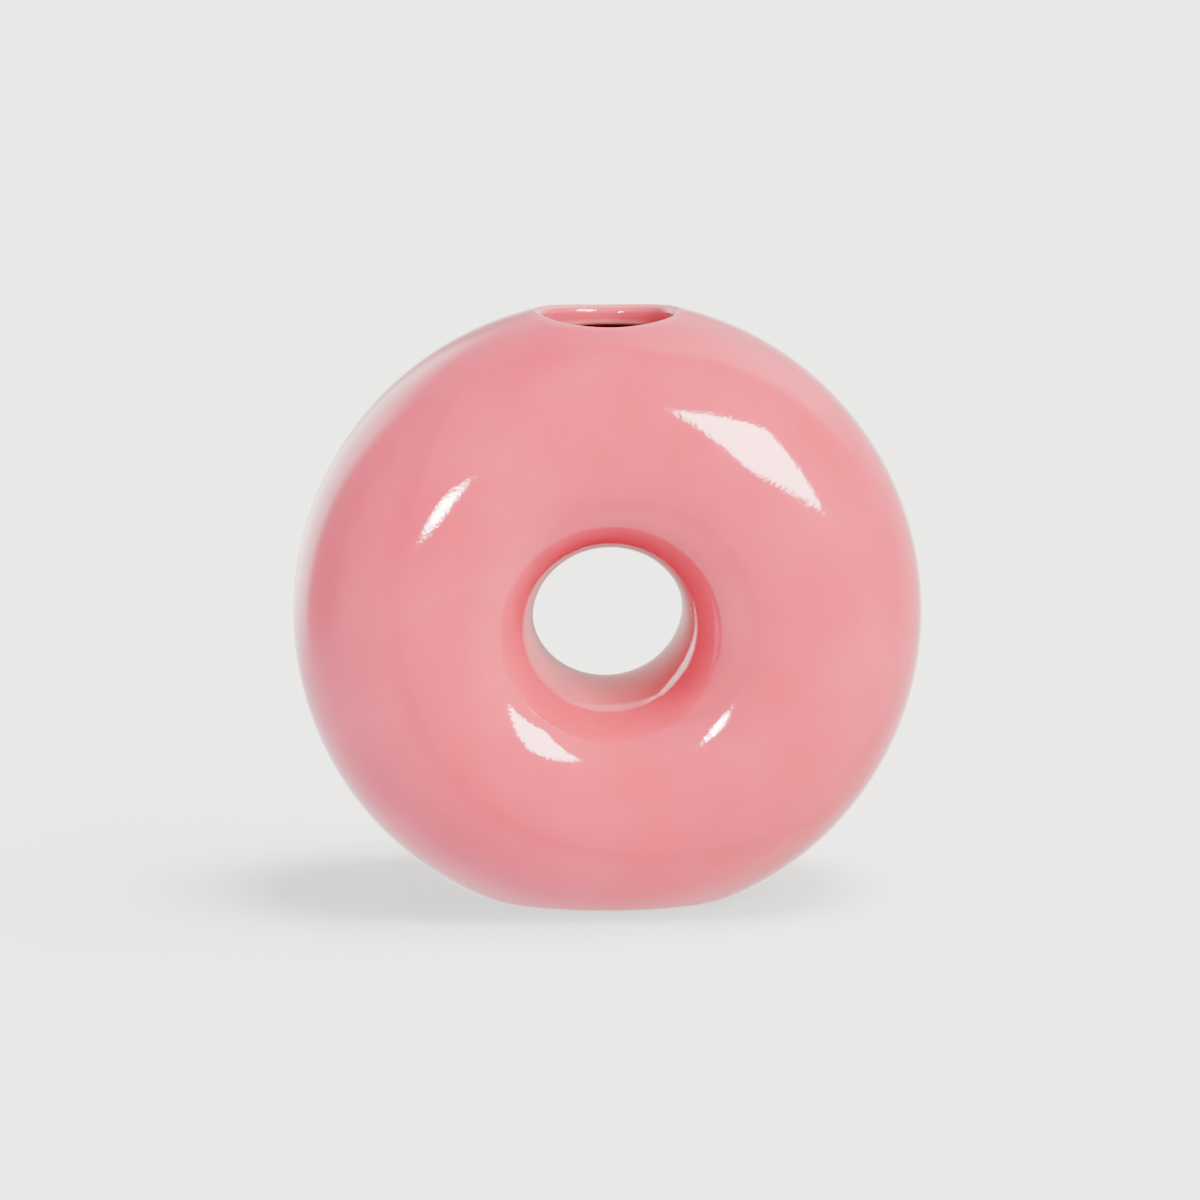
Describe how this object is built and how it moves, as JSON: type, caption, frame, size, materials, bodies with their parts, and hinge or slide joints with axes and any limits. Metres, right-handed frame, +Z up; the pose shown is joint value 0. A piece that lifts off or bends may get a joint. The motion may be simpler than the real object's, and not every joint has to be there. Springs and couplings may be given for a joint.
{
  "type": "ring vase",
  "caption": "Ring-shaped hollow flower vase with a round mouth at the top of the ring, an open hole through its middle and a flat foot.",
  "frame": {"origin": "middle of the flat foot, on the surface that the vase stands on", "axes": "+Z up out of the mouth, Y along the ring's axis and through its hole, X across the ring's width"},
  "size_m": [0.2, 0.101, 0.1872],
  "materials": {
    "bare_clay": "bare fired earthenware, fine and matt",
    "slip": "fired joining slip, matt",
    "pink_glaze": "glossy pink glaze",
    "pink_lining": "glossy pink glaze, poured inside"
  },
  "bodies": {
    "root": {"foot": "bare_clay", "mouth_collar": "bare_clay", "front_half": "bare_clay", "back_half": "bare_clay", "throat_slip": "slip", "rim_slip": "slip", "outer_glaze": "pink_glaze", "inner_glaze": "pink_lining"}
  },
  "joints": []
}
